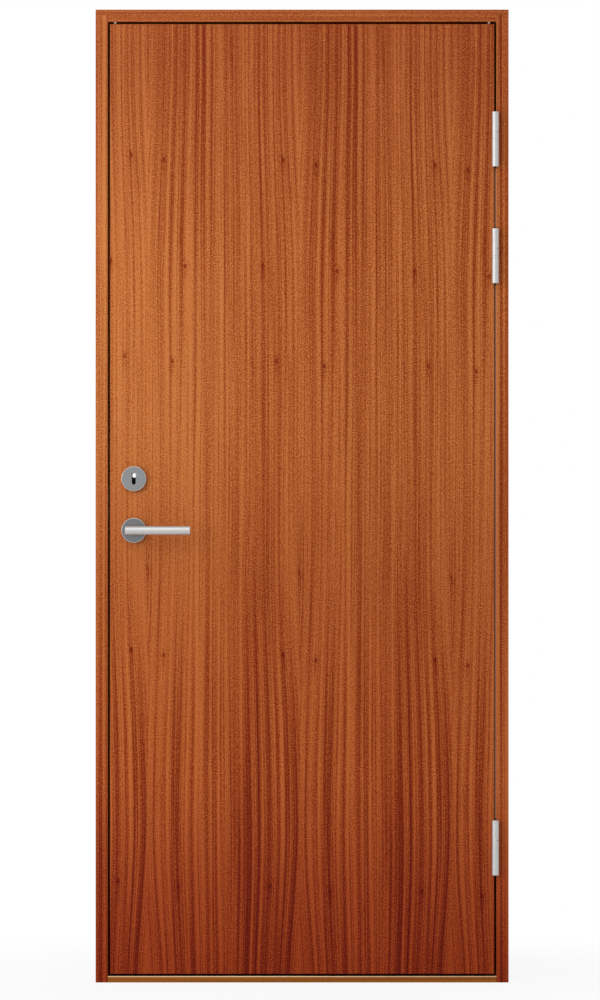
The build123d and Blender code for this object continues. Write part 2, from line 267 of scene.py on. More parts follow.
aim_height = 1.15
door_middle = Vector((0, frame_front, aim_height))
soft_lamp("side_lamp", Vector((-2.5, -2.2, 1.7)), door_middle, size=2.2, power=50)
soft_lamp("high_lamp", Vector((-0.9, -4.4, 5.2)), door_middle, size=3.8, power=84)
soft_lamp("back_lamp", Vector((1.4, 4.2, 3.6)), door_middle, size=3.4, power=70)

# %% [markdown]
# ## Floor
# The floor is one pale plane at the foot of the frame. Near the door a share of the painted floor
# shows, and with it the door's soft shadow. Further off the plane fades to the white of the
# surroundings, so that no horizon is seen. It is only a stage, and is not part of the door.

# %% Floor
floor_size = 40.0
floor_grey = 0.82
shadow_near, shadow_far = 0.5, 1.4
shadow_share = 0.12

bpy.ops.object.select_all(action="DESELECT")
bpy.ops.mesh.primitive_plane_add(size=floor_size, location=(0, 0, cad_low.z))
floor = bpy.context.object
floor.name = "floor"
floor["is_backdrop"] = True

floor_paint, place, (x, y, z) = start_material("floor_paint")
pale = (floor_grey, floor_grey, floor_grey, 1)
set_surface(floor_paint, Base_Color=pale, Roughness=0.9, Specular_IOR_Level=0.0)
tree = floor_paint.node_tree
painted = Shade(tree, tree.nodes["Principled BSDF"].outputs[0])
white = painted.node("ShaderNodeEmission", {}, {"Color": (1, 1, 1, 1), "Strength": 1.0})
away = place.node("ShaderNodeVectorMath", {"operation": "LENGTH"}, {0: place}, "Value")
whiteness = 1 - shadow_share * (1 - smooth_step(away, shadow_near, shadow_far))
sides = {0: seen_rays(painted, *white_rays) * whiteness, 1: painted, 2: white}
shown = painted.node("ShaderNodeMixShader", {}, sides)
tree.links.new(shown.socket, tree.nodes["Material Output"].inputs["Surface"])
floor.data.materials.append(floor_paint)
print(f"floor {floor_size:.0f} m wide, shadow fades over {shadow_far - shadow_near:.1f} m")

# %% [markdown]
# ## What wood is made of
# Seen close, this wood has three layers: ribbons about a centimetre wide, fine growth lines inside
# them, and pores, which are short dark dashes along the grain. All three are noise, drawn out many
# times further along the grain than across it. Writing the wood as two numbers, across and along, lets
# one recipe serve the upright jambs, the level head and the leaf.

# %% Grain
ribbon_size = (0.0075, 1.6)
line_size = (0.0026, 0.8)
pore_size = (0.0016, 0.003)
ribbon_range, line_range, pore_range = (0.32, 0.64), (0.36, 0.6), (0.38, 0.68)
ribbon_mean, line_mean, pore_mean, noise_mean = 0.6, 0.6, 0.42, 0.5


def drawn_noise(across, along, width, run, seed, detail=1.0):
    """Noise in streaks about this wide and this long, in metres, mostly between 0.3 and 0.7."""
    sockets = {"X": across / width, "Y": along / run, "Z": seed}
    stretched = across.node("ShaderNodeCombineXYZ", {}, sockets)
    sockets = {"Vector": stretched, "Scale": 1.0, "Detail": detail}
    return stretched.node("ShaderNodeTexNoise", {"noise_dimensions": "3D"}, sockets)


def wood_layers(across, along, seed):
    """Ribbons, growth lines and pores, each from 0 for dark to 1 for light."""
    ribbons = drawn_noise(across, along, *ribbon_size, seed)
    lines = drawn_noise(across, along, *line_size, seed + 11.3)
    pores = drawn_noise(across, along, *pore_size, seed + 23.9, detail=2.0)
    layers = ((ribbons, ribbon_range), (lines, line_range), (pores, pore_range))
    return [smooth_step(layer, *limits) for layer, limits in layers]


dark_line = srgb(116, 26, 2)
heartwood = srgb(141, 52, 10)
mid_wood = srgb(170, 85, 33)
pale_wood = srgb(210, 130, 70)
wood_stops = [(0.0, dark_line), (0.3, heartwood), (0.6, mid_wood), (1.0, pale_wood)]


def wood_colour(tone):
    """The colour of the wood for a tone from 0, dark, to 1, pale."""
    return tone.node("ShaderNodeValToRGB", {"stops": wood_stops}, {"Fac": tone})


print("growth lines", line_size[0] * 1000, "mm and pores", pore_size[0] * 1000, "mm across")

# %% [markdown]
# ## Painted shade that deepens towards the floor
# Leaf and frame alike grow redder and darker towards the foot, and a little darker at the very top.
# This darkening is painted shade, with green and blue fading faster than red. A ramp over the height of
# the door holds that change in seven stops.

# %% Painted shade by height
height_shade_stops = [
    (0.02, (0.62, 0.29, 0.20)),
    (0.10, (0.68, 0.38, 0.30)),
    (0.21, (0.84, 0.64, 0.55)),
    (0.42, (0.85, 0.73, 0.67)),
    (0.58, (0.98, 0.97, 0.97)),
    (0.75, (1.0, 1.0, 1.0)),
    (0.95, (0.85, 0.74, 0.74)),
]


def height_shaded(colour, z):
    """A wood colour, darkened by the height of the point: painted shade."""
    tint = z.node("ShaderNodeValToRGB", {"stops": height_shade_stops}, {"Fac": z / cad_high.z})
    return blend_colours(1.0, colour, tint, "MULTIPLY")


print("stain set at", len(height_shade_stops), "heights over", round(cad_high.z, 3), "m")

# %% [markdown]
# ## The leaf's veneer
# The face is laid from sheets cut one after another from the same log. Every sheet repeats the figure
# of the one before it, a little lower. Wrapping the width by the sheet's width repeats it, and the
# number of the sheet lowers it. In a sheet the growth lines bow outwards a third of a metre above the
# floor, so the lines of two neighbours meet in a V above that height and the other way up below it.
# Near the top they draw in.

# %% Sheets of veneer
sheet_columns, seam_column, drop_rows = 152, 148, 5.2
sheet_width = sheet_columns * pixel
first_seam = (seam_column - frame_middle_column) * pixel
sheet_drop = drop_rows * pixel
bow_foot, bow_height, bow_top = -0.05, 0.34, 0.95
bow_share = 0.14
taper_foot, taper_top = 1.46, 2.01
taper_share = -0.105
wander_size = (0.12, 0.5)
wander_reach = 0.007


def veneer_place(x, z):
    """Metres from the middle of a sheet, straightened, and the sheet's own height."""
    steps = (x - first_seam) / sheet_width
    sheet = steps.math("FLOOR", steps)
    middle = (steps - sheet - 0.5) * sheet_width
    height = z + sheet * sheet_drop
    bow = smooth_step(height, bow_foot, bow_height) * (1 - smooth_step(height, bow_height, bow_top))
    taper = smooth_step(height, taper_foot, taper_top)
    wander = (drawn_noise(middle, height, *wander_size, seed=4.7) - noise_mean) * wander_reach
    return middle / (1 + bow_share * bow + taper_share * taper) + wander, height, sheet


print("veneer sheets", round(sheet_width * 1000), "mm wide")

# %% [markdown]
# ## Dark ribbons and pin knots
# Two groups of dark ribbons give this veneer its face. One fills the left half of each sheet near the
# top, the other the right half near the foot, and both fade out at lever height. A ramp across the
# sheet holds their places. Pin knots are small dark ovals with a short tail, in pairs about the sheet's
# middle. They are placed by pixels: columns from that middle, and rows of the picture.

# %% Figure of the veneer
upper_ribbons = [
    (-156, 7, 1.0), (-141, 8, 1.0), (-116, 8, 0.6), (-92, 9, 1.0), (-64, 9, 1.0),
    (-46, 8, 1.0), (-27, 8, 0.8), (3, 7, 0.5), (30, 7, 0.6), (83, 6, 0.7),
]
lower_ribbons = [
    (-91, 12, 0.6), (-62, 8, 0.6), (-32, 7, 0.8), (27, 7, 0.6), (45, 9, 1.0),
    (64, 8, 1.0), (88, 9, 1.0), (104, 6, 0.7), (120, 7, 0.6), (137, 8, 0.9),
]
knots = [(63.5, 160), (39.2, 266), (52.2, 361), (76, 573), (57, 655), (41.5, 886)]
knot_width = 0.0042
knot_height = 0.0072
knot_tail, knot_halo = 0.3, 0.16
spot_edge, halo_edge = (0.1, 1.0), (0.0, 9.0)
tail_drop, tail_long, tail_wide = 2.5, 3.0, 2.0
stripe_pitch = 0.0165
stripe_drift = 1.6
drift_size = (0.045, 0.9)


def ribbon_ramp(across, ribbons):
    """Darkness across a sheet, from each ribbon's place and half width in mm, and its depth."""
    stops = []
    for middle, half, depth in ribbons:
        for side in (-1, 0, 1):
            stops.append((0.5 + (middle + side * half) / 1000 / sheet_width, depth * (side == 0)))
    share = across / sheet_width + 0.5
    return across.node("ShaderNodeValToRGB", {"stops": sorted(stops)}, {"Fac": share})


def knot_shade(across, height):
    """Darkness of the pin knots, with their tails."""
    dark = None
    for column, row in knots:
        sideways = (abs(across) - column * pixel) / knot_width
        upwards = (height - (frame_foot_row - row) * pixel) / knot_height
        away = sideways * sideways + upwards * upwards
        spot = 1 - smooth_step(away, *spot_edge)
        halo = 1 - smooth_step(away, *halo_edge)
        below = 1 - smooth_step(abs(upwards + tail_drop), 0.0, tail_long)
        tail = below * (1 - smooth_step(sideways * sideways, 0.0, tail_wide))
        whole = spot + knot_tail * tail + knot_halo * halo
        dark = whole if dark is None else dark + whole
    return dark


def pin_stripes(across, height):
    """Stripes a little over a centimetre and a half apart, from -1 to 1, whose spacing wanders."""
    drift = drawn_noise(across, height, *drift_size, seed=52.0)
    return across.math("SINE", (across / stripe_pitch + stripe_drift * drift) * tau)


print(len(upper_ribbons), "ribbons high up,", len(lower_ribbons), "low down,", len(knots), "knots")

# %% [markdown]
# ## Laying the veneer
# All the layers meet in one number, the tone, which is then turned into a colour and given the painted
# shade by height. A layer's weight says how far it pulls the tone from its middle. The growth lines and
# the figure count for more low down, where the painted shade makes the wood darkest. The latch side is
# painted paler at mid height as a painted pool of light, with a painted highlight along the latch edge.

# %% Layers of the veneer
flame_size = (0.05, 0.35)
vein_size = (0.016, 0.8)
vein_edge = (0.008, 0.04)
sheet_shift = 0.0007
upper_zone, lower_zone, foot_zone = (1.05, 1.75), (0.4, 1.04), (0.0, 0.3)

leaf_veneer, place, (x, y, z) = start_material("leaf_veneer")
across, height, sheet = veneer_place(x, z)
ribbons, lines, pores = wood_layers(across + sheet * sheet_shift, height, seed=2.0)
high_up = smooth_step(height, *upper_zone)
low_down = 1 - smooth_step(height, *lower_zone)
foot = 1 - smooth_step(height, *foot_zone)
upper_figure = high_up * ribbon_ramp(across, upper_ribbons)
lower_figure = low_down * ribbon_ramp(across, lower_ribbons)
flame = drawn_noise(across, height, *flame_size, seed=31.0)
vein_noise = drawn_noise(across, height, *vein_size, seed=44.0)
veins = 1 - smooth_step(abs(vein_noise - noise_mean), *vein_edge)
print("plainest between", lower_zone[1], "and", upper_zone[0], "m above the floor")

# %% Tone of the veneer
middle_tone, low_tone = 0.695, 0.03
ribbon_weight, pore_weight, flame_weight, vein_weight, knot_weight = 0.12, 0.72, 0.2, 0.1, 0.5
line_weight, line_low, line_foot = 0.28, 0.12, 0.1
figure_weight, figure_low, figure_foot = 0.36, 0.18, 0.1
wave_weight, wave_high, wave_low = 0.035, 0.055, 0.07
latch_sheet, latch_margin, hinge_margin = (-0.24, -0.08), (-0.41, -0.34), (0.33, 0.4)
lit_sheet_lift, edge_highlight_share, paler_edge, light_pool_fade = 0.165, 0.7, 0.06, 0.6
light_pool_top = (1.45, 1.9)
veneer_rough, pore_gloss, wood_specular, pore_deep = 0.5, 0.1, 0.1, 0.00012

line_depth = line_weight + line_low * low_down + line_foot * foot
wave_depth = wave_weight + wave_high * high_up + wave_low * low_down
figure_depth = figure_weight + figure_low * low_down + figure_foot * foot
grain = ribbon_weight * (ribbons - ribbon_mean) + line_depth * (lines - line_mean)
grain = grain + wave_depth * pin_stripes(across, height)
tone = middle_tone + low_tone * low_down + grain
tone = tone + pore_weight * (pores - pore_mean) + flame_weight * (flame - noise_mean)
tone = tone - figure_depth * (upper_figure + lower_figure)
tone = tone - vein_weight * veins - knot_weight * knot_shade(across, height)

# Painted light: the latch side is painted paler at mid height as a pool of light, with a painted
# highlight along the latch edge; the leaf is also a little paler by the hinge edge.
lit_by_latch = 1 - smooth_step(x, *latch_sheet)
lit_by_latch = lit_by_latch + edge_highlight_share * (1 - smooth_step(x, *latch_margin))
light_pool_height = (1 - light_pool_fade * low_down) * (1 - light_pool_fade * smooth_step(height, *light_pool_top))
tone = tone + lit_sheet_lift * lit_by_latch * light_pool_height + paler_edge * smooth_step(x, *hinge_margin)
set_surface(
    leaf_veneer,
    Base_Color=height_shaded(wood_colour(tone), z),
    Roughness=veneer_rough - pore_gloss * pores,
    Specular_IOR_Level=wood_specular,
    Normal=bumps(pores, pore_deep),
)
for name in ("front_face", "back_face"):
    nodes[name].data.materials.clear()
    nodes[name].data.materials.append(leaf_veneer)
print("veneer on front and back")

# %% [markdown]
# ## The frame's timber
# The jambs are solid upright timber, and the head lies level over their ends. The recipe is the
# veneer's without its sheets: across the grain is a slanting mix of width and depth, so that the lines
# run on round a corner as they do in solid wood. The head swaps across and along. Each jamb has its own
# dark stripe, and its front corner by the leaf is painted paler, a painted highlight. A dark hair line
# marks the joint of a jamb with the head.

# %% Solid timber
timber_tone, timber_rough, timber_slant = 0.73, 0.52, 0.4
timber_ribbons, timber_lines, timber_pores, timber_flame = 0.24, 0.3, 0.7, 0.3
joint_colour = srgb(52, 18, 8)


def timber(across, along, seed):
    """Tone and pores of solid timber with its grain along one direction."""
    ribbons, lines, pores = wood_layers(across, along, seed)
    flame = drawn_noise(across, along, *flame_size, seed + 40)
    grain = timber_ribbons * (ribbons - ribbon_mean) + timber_lines * (lines - line_mean)
    grain = grain + timber_pores * (pores - pore_mean) + timber_flame * (flame - noise_mean)
    return timber_tone + grain, pores


def finish_timber(material, tone, pores, z, shade=None):
    """Wood with the painted shade by height on a material, darker where a shade from 0 to 1 says so."""
    colour = height_shaded(wood_colour(tone), z)
    if shade is not None:
        colour = blend_colours(shade, colour, joint_colour)
    set_surface(
        material,
        Base_Color=colour,
        Roughness=timber_rough - pore_gloss * pores,
        Specular_IOR_Level=wood_specular,
        Normal=bumps(pores, pore_deep),
    )


def stripe(across, middle, half):
    """A soft stripe, 1 in its middle and 0 beyond its half width."""
    return 1 - smooth_step(abs(across - middle), 0.0, half)


# %% Jambs and head
joint_line, joint_shade = 0.0011, 0.75
arris, arris_highlight = 0.0018, 0.45
latch_stripe, edge_stripe, hinge_stripe = (-0.4316, 0.007), (-0.4185, 0.003), (0.4262, 0.005)
latch_depth, latch_deeper, edge_share, hinge_depth = 0.1, 0.4, 0.6, 0.4
latch_tone, latch_low = 0.21, -0.25
hinge_tone, hinge_low, hinge_foot = -0.02, 0.2, -0.25
head_tone = 0.02
jamb_low_zone = (0.3, 1.0)
jamb_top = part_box("latch_jamb")[1].z
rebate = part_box("threshold")[1].x

jamb_timber, place, (x, y, z) = start_material("jamb_timber")
tone, pores = timber(x + timber_slant * y, z, seed=51.0)
low_down = 1 - smooth_step(z, *jamb_low_zone)
foot = 1 - smooth_step(z, *foot_zone)
stripes = stripe(x, *latch_stripe) + edge_share * stripe(x, *edge_stripe)
stripes = (latch_depth + latch_deeper * low_down) * stripes
stripes = stripes + hinge_depth * stripe(x, *hinge_stripe)
latch_side = 1 - smooth_step(x, -rebate, rebate)
tone = tone + latch_side * (latch_tone + latch_low * low_down)
tone = tone + (1 - latch_side) * (hinge_tone + hinge_low * low_down + hinge_foot * foot)
end_line = smooth_step(z, jamb_top - joint_line, jamb_top - 0.3 * joint_line)
# Painted highlight: the jamb's front corner by the rebate is painted paler.
by_rebate = 1 - smooth_step(abs(x), rebate + 0.5 * arris, rebate + 1.2 * arris)
by_front = 1 - smooth_step(y, frame_front + arris, frame_front + 2 * arris)
tone = tone - stripes + arris_highlight * by_rebate * by_front
finish_timber(jamb_timber, tone, pores, z, joint_shade * end_line)

head_timber, place, (x, y, z) = start_material("head_timber")
tone, pores = timber(z + timber_slant * y, x, seed=63.0)
finish_timber(head_timber, tone + head_tone, pores, z)

finishes = {"latch_jamb": jamb_timber, "hinge_jamb": jamb_timber, "frame_head": head_timber}
for name, material in finishes.items():
    nodes[name].data.materials.clear()
    nodes[name].data.materials.append(material)
print("jambs end", round((cad_high.z - jamb_top) * 1000, 1), "mm below the top of the head")

# %% [markdown]
# ## Lippings and core
# The leaf's edges are closed by solid strips of the same timber, and between them lies a pressed board,
# seen only inside the lock's openings. The strips stand upright at the sides and lie level at top and
# bottom, so they take the two grain directions of the frame. The board is a fine speckle of chips.

# %% Lipping and core materials
lipping_slant = 0.3
chips_per_metre = 350.0

edge_upright, place, (x, y, z) = start_material("upright_lipping")
tone, pores = timber(y + lipping_slant * x, z, seed=75.0)
finish_timber(edge_upright, tone, pores, z)

edge_level, place, (x, y, z) = start_material("level_lipping")
tone, pores = timber(y + lipping_slant * z, x, seed=77.0)
finish_timber(edge_level, tone, pores, z)

core_board, place, (x, y, z) = start_material("core_board")
sockets = {"Vector": place, "Scale": chips_per_metre}
chips = place.node("ShaderNodeTexVoronoi", {}, sockets, "Color")
chip_stops = [(0.0, srgb(150, 112, 70)), (1.0, srgb(206, 172, 122))]
board_colour = chips.node("ShaderNodeValToRGB", {"stops": chip_stops}, {"Fac": chips})
set_surface(core_board, Base_Color=board_colour, Roughness=0.85, Specular_IOR_Level=0.2)

finishes = {
    "latch_edge": edge_upright,
    "hinge_edge": edge_upright,
    "top_edge": edge_level,
    "bottom_edge": edge_level,
    "leaf_core": core_board,
}
for name, material in finishes.items():
    nodes[name].data.materials.clear()
    nodes[name].data.materials.append(material)
print("finished", *finishes)

# %% [markdown]
# ## The threshold
# The threshold is a harder, yellower wood than the rest, with level grain. Its front arris is painted
# pale, partly worn wood and partly a painted highlight: a bright line two millimetres tall shows under
# the leaf. The pale band follows the rounded corner, so it is a mask on height near the front, broken
# up by noise, and not an extra piece.

# %% Threshold material
threshold_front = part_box("threshold")[0].y
step_high = 0.0135
bright_from, bright_full = 0.002, 0.0014
bright_near, bright_far = 0.004, 0.012
bright_share, bright_break = 0.8, 0.4
wear_and_highlight_colour = srgb(255, 226, 180)
oak_stops = [(0.0, srgb(126, 64, 8)), (1.0, srgb(170, 103, 22))]
oak_base, oak_ribbons, oak_lines, oak_pores = 0.1, 0.3, 0.4, 0.2

threshold_wood, place, (x, y, z) = start_material("threshold_wood")
ribbons, lines, pores = wood_layers(z + timber_slant * y, x, seed=90.0)
oak_tone = oak_base + oak_ribbons * ribbons + oak_lines * lines + oak_pores * pores
oak = oak_tone.node("ShaderNodeValToRGB", {"stops": oak_stops}, {"Fac": oak_tone})
near_top = smooth_step(z, step_high - bright_from, step_high - bright_full)
near_front = 1 - smooth_step(y, threshold_front + bright_near, threshold_front + bright_far)
# Pale band on the front arris: partly worn wood, partly a painted highlight.
wear_and_highlight = near_top * near_front * (bright_share + bright_break * (lines - 0.5))
set_surface(
    threshold_wood,
    Base_Color=blend_colours(wear_and_highlight, oak, wear_and_highlight_colour),
    Roughness=0.55,
    Specular_IOR_Level=0.2,
    Normal=bumps(pores, 0.0001),
)
nodes["threshold"].data.materials.clear()
nodes["threshold"].data.materials.append(threshold_wood)
print("worn line up to", step_high * 1000, "mm above the floor")

# %% [markdown]
# ## Seals and fire strips
# The gaskets on the stops are soft dark rubber, dull, with a fine pebble. The fire strips are a hard
# compound in a brown plastic skin, and swell in a fire to close the gap. Both are fine noise in colour
# and bump, with no direction, so one recipe makes both.

# %% Rubber and strip materials
speckle_gloss = 0.2


def speckled(name, dark, light, grain, roughness, depth):
    """A material with a fine even speckle between two colours."""
    material, place, split = start_material(name)
    sockets = {"Vector": place, "Scale": 1 / grain, "Detail": 3.0}
    speckle = place.node("ShaderNodeTexNoise", {}, sockets)
    stops = [(0.3, dark), (0.7, light)]
    colour = speckle.node("ShaderNodeValToRGB", {"stops": stops}, {"Fac": speckle})
    set_surface(
        material,
        Base_Color=colour,
        Roughness=roughness + speckle_gloss * (speckle - noise_mean),
        Specular_IOR_Level=0.2,
        Normal=bumps(speckle, depth),
    )
    return material


seal_rubber = speckled("seal_rubber", srgb(30, 20, 16), srgb(48, 34, 28), 0.0012, 0.7, 0.0001)
fire_strip = speckled("fire_strip", srgb(132, 86, 63), srgb(152, 104, 79), 0.002, 0.6, 0.00006)
for name, node in nodes.items():
    material = None
    if name.endswith("gasket"):
        material = seal_rubber
    elif "fire_strip" in name:
        material = fire_strip
    if material:
        node.data.materials.clear()
        node.data.materials.append(material)
        print(name, "is", material.name)

# %% [markdown]
# ## Satin steel
# Handles and roses are stainless steel with a satin finish: the bar is brushed along its length, and
# the roses are turned, so their fine scratches are rings. A scratch is a thin streak of noise that
# changes the gloss and the bump. The satin of the lever and of the plated hinge barrels scatters much
# of the light, so their Metallic value stays well below 1. The hidden hinge plates are duller, and the
# lock's plates are zinc grey.

# %% Scratched metal
streak_dark, streak_pale = 0.9, 1.12
streak_gloss = 0.12


def metal(material, colour, roughness, streaks, depth, metallic=1.0):
    """Metal whose gloss and bump follow streaks from 0 to 1."""
    dark, pale = (tuple(v * share for v in colour) for share in (streak_dark, streak_pale))
    tint = blend_colours(streaks, dark, pale)
    set_surface(
        material,
        Base_Color=tint,
        Metallic=metallic,
        Roughness=roughness + streak_gloss * (streaks - noise_mean),
        Normal=bumps(streaks, depth),
    )
    return tint


# %% Steels
handle_colour = (0.53, 0.53, 0.52)
rose_colour = (0.262, 0.267, 0.272)
# The lever rose is darker than the key rose: painted shade from the lever over it.
painted_shade_rose_colour = (0.185, 0.19, 0.2)
# The rims are paler and warmer than the roses: a painted highlight.
rim_highlight_colour = (0.5, 0.46, 0.43)
hinge_colour = (0.55, 0.55, 0.54)
plate_colour = (0.36, 0.36, 0.355)
lock_colour = (0.4, 0.4, 0.39)
# Near black: the knuckle grub screws' own black, and on the lock case painted shade, so that the
# keyhole reads dark.
black_and_keyhole_shade_colour = (0.03, 0.03, 0.03)
lever_metallic, barrel_metallic, plate_metallic = 0.5, 0.5, 0.9
lever_rough, barrel_rough, lock_rough, case_rough, rose_rough = 0.4, 0.42, 0.4, 0.6, 0.3
brush_size, barrel_size, lock_size = (0.0006, 0.03), (0.0008, 0.02), (0.0008, 0.03)
case_size, ring_size = (0.004, 0.004), (0.0006, 0.05)
scratch_slant = 0.7
scratch_deep = 0.00001
plate_from, plate_full = 0.001, 0.003

brushed_steel, place, (x, y, z) = start_material("brushed_steel")
brushing = drawn_noise(z + scratch_slant * y, x, *brush_size, seed=5.0, detail=2.0)
metal(brushed_steel, handle_colour, lever_rough, brushing, scratch_deep, metallic=lever_metallic)

hinge_steel, place, (x, y, z) = start_material("hinge_steel")
drawing = drawn_noise(x + scratch_slant * y, z, *barrel_size, seed=7.0, detail=2.0)
tint = metal(hinge_steel, hinge_colour, barrel_rough, drawing, scratch_deep)
leaf_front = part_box("front_face")[0].y
plate = smooth_step(y, leaf_front + plate_from, leaf_front + plate_full)
set_surface(
    hinge_steel,
    Base_Color=blend_colours(plate, tint, plate_colour),
    Metallic=barrel_metallic + (plate_metallic - barrel_metallic) * plate,
)

lock_steel, place, (x, y, z) = start_material("lock_steel")
drawing = drawn_noise(y + scratch_slant * x, z, *lock_size, seed=9.0, detail=2.0)
metal(lock_steel, lock_colour, lock_rough, drawing, scratch_deep)

black_steel, place, (x, y, z) = start_material("black_steel")
drawing = drawn_noise(x, z, *case_size, seed=15.0, detail=2.0)
metal(black_steel, black_and_keyhole_shade_colour, case_rough, drawing, 2 * scratch_deep)
print("scratches", scratch_deep * 1e6, "micrometres deep")


# %% Turned roses, and which metal goes where
def turned_steel(name, rose, colour):
    """Steel with fine rings about the middle of a rose."""
    low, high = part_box(rose)
    middle = (low + high) / 2
    material, place, (x, y, z) = start_material(name)
    radius = (x - middle.x) * (x - middle.x) + (z - middle.z) * (z - middle.z)
    radius = radius.math("SQRT", radius)
    rings = drawn_noise(radius, y, *ring_size, seed=3.0, detail=2.0)
    metal(material, colour, rose_rough, rings, scratch_deep)
    return material


finishes = {
    "key_rose": turned_steel("turned_key_rose", "front_key_rose", rose_colour),
    "lever_rose": turned_steel("turned_lever_rose", "front_lever_rose", painted_shade_rose_colour),
    "lever": brushed_steel,
    "spindle": lock_steel,
    "hinge_frame_half": hinge_steel,
    "hinge_leaf_half": hinge_steel,
    "plate": lock_steel,
    "bolt": lock_steel,
    "case": black_steel,
}
for ending, material in finishes.items():
    for name, node in nodes.items():
        if name.endswith(ending):
            node.data.materials.clear()
            node.data.materials.append(material)
            print(name, "is", material.name)

# %% [markdown]
# ## Working on small pieces
# The fasteners that the construction leaves out are modelled here, each once and at real size. A piece
# starts as a primitive at the origin, is shaped in edit mode, and is then copied to its places. A copy
# keeps its place in its own mesh, so its object stays at the origin, and it rides on the part of the
# door that carries it.

# %% Helpers for modelling
smooth_angle = 35


def only(piece):
    """Select and activate just this piece."""
    bpy.ops.object.select_all(action="DESELECT")
    piece.select_set(True)
    bpy.context.view_layer.objects.active = piece


def edit(piece):
    """Go into edit mode on a piece, with its place moved into its mesh."""
    only(piece)
    bpy.ops.object.transform_apply(location=True, rotation=True, scale=True)
    bpy.ops.object.mode_set(mode="EDIT")


def pick_faces(piece, test):
    """In edit mode, select just the faces whose normal passes a test."""
    bpy.ops.mesh.select_mode(type="FACE")
    bpy.ops.mesh.select_all(action="DESELECT")
    mesh = bmesh.from_edit_mesh(piece.data)
    for face in mesh.faces:
        face.select_set(test(face.normal))
    bmesh.update_edit_mesh(piece.data)


def cut_out(piece, cutter):
    """Take the shape of a cutter out of a piece, and delete the cutter."""
    only(piece)
    bpy.ops.object.modifier_add(type="BOOLEAN")
    hole = piece.modifiers[-1]
    hole.operation = "DIFFERENCE"
    hole.object = cutter
    bpy.ops.object.modifier_apply(modifier=hole.name)
    only(cutter)
    bpy.ops.object.delete()


def dress(piece, name, material, body):
    """Name a finished piece, give it its material, and let it ride on a body."""
    only(piece)
    bpy.ops.object.shade_smooth_by_angle(angle=radians(smooth_angle))
    piece.name = name
    piece.data.name = name
    piece.data.materials.clear()
    piece.data.materials.append(material)
    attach(piece, body)
    print(name, "has", len(piece.data.polygons), "faces")


def place_copies(model, spots, turn):
    """Copies of a model, turned alike, set at these places and joined into one piece."""
    copies = []
    for spot in spots:
        only(model)
        bpy.ops.object.duplicate()
        copy = bpy.context.object
        copy.location = spot
        copy.rotation_euler = [radians(angle) for angle in turn]
        bpy.ops.object.transform_apply(location=True, rotation=True, scale=True)
        copies.append(copy)
    for copy in copies:
        copy.select_set(True)
    if len(copies) > 1:
        bpy.ops.object.join()
    return bpy.context.object


# %% [markdown]
# ## Countersunk screws
# Four screws hold each hinge plate, and two hold the lock's plate and the strike. A head is a short
# cone with a cross recess. The cylinder's lower face is drawn in to make the cone, its top face is
# inset and raised a little, and a cross, grown from the four sides of a cube, is cut out of it.

# %% One screw
screw_radius = 0.0041
screw_sunk = 0.0018
screw_proud = 0.0003
cone_share = 0.55
crown_inset = 0.1 * screw_radius
crown_rise = 0.4 * screw_proud
cross_arm = 0.0021
cross_width = 0.0009
cross_deep = 0.0011

bpy.ops.object.select_all(action="DESELECT")
bpy.ops.mesh.primitive_cylinder_add(
    vertices=32,
    radius=screw_radius,
    depth=screw_sunk + screw_proud,
    location=(0, 0, (screw_proud - screw_sunk) / 2),
)
screw = bpy.context.object
edit(screw)
pick_faces(screw, lambda normal: normal.z < -0.9)
bpy.ops.transform.resize(value=(cone_share, cone_share, 1))
pick_faces(screw, lambda normal: normal.z > 0.9)
bpy.ops.mesh.inset(thickness=crown_inset)
bpy.ops.transform.translate(value=(0, 0, crown_rise))
bpy.ops.object.mode_set(mode="OBJECT")

bpy.ops.mesh.primitive_cube_add(size=cross_width, location=(0, 0, screw_proud))
cross = bpy.context.object
edit(cross)
pick_faces(cross, lambda normal: abs(normal.z) < 0.1)
bpy.ops.mesh.extrude_faces_move(TRANSFORM_OT_shrink_fatten={"value": cross_arm - cross_width / 2})
bpy.ops.mesh.select_all(action="SELECT")
flatter = (1, 1, 2 * cross_deep / cross_width)
bpy.ops.transform.resize(value=flatter, center_override=(0, 0, screw_proud))
bpy.ops.object.mode_set(mode="OBJECT")
cut_out(screw, cross)
print("screw head", [round(size * 1000, 2) for size in screw.dimensions], "mm")

# %% [markdown]
# ## Screws in the hinge plates
# The four screws of a plate stand in two rows, staggered, so that they don't split the wood along one
# line of grain. The plates on the jamb and on the leaf's edge face each other across the gap, so the
# copies are turned a quarter one way or the other.

# %% Hinge screws
hinges = ("top", "middle", "bottom")
screw_grid = [(-0.044, 0.015), (-0.015, 0.03), (0.015, 0.015), (0.044, 0.03)]
leaf_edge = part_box("hinge_edge")[1].x


def hinge_middle(hinge):
    """Height of a hinge's middle."""
    low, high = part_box(f"{hinge}_hinge_leaf_half")
    return (low.z + high.z) / 2


for hinge in hinges:
    for body, plate_x, turn in (("frame", rebate, -90), ("leaf", leaf_edge, 90)):
        spots = [(plate_x, frame_front + deep, hinge_middle(hinge) + up) for up, deep in screw_grid]
        screws = place_copies(screw, spots, (0, turn, 0))
        dress(screws, f"{hinge}_hinge_{body}_screws", hinge_steel, body)

# %% [markdown]
# ## Screws in the lock's plates
# The lock's faceplate and the strike opposite are long and narrow, with one screw near each end. The
# places come from the box of the plate, so they stay right if the lock changes.

# %% Lock screws
screw_end = 0.011
lock_plates = (("lock_faceplate", 0, -90, "leaf"), ("strike_plate", 1, 90, "frame"))
for plate, side, turn, body in lock_plates:
    low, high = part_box(plate)
    plate_x = (low, high)[side].x
    levels = (low.z + screw_end, high.z - screw_end)
    spots = [(plate_x, (low.y + high.y) / 2, level) for level in levels]
    screws = place_copies(screw, spots, (0, turn, 0))
    dress(screws, f"{plate}_screws", lock_steel, body)
only(screw)
bpy.ops.object.delete()

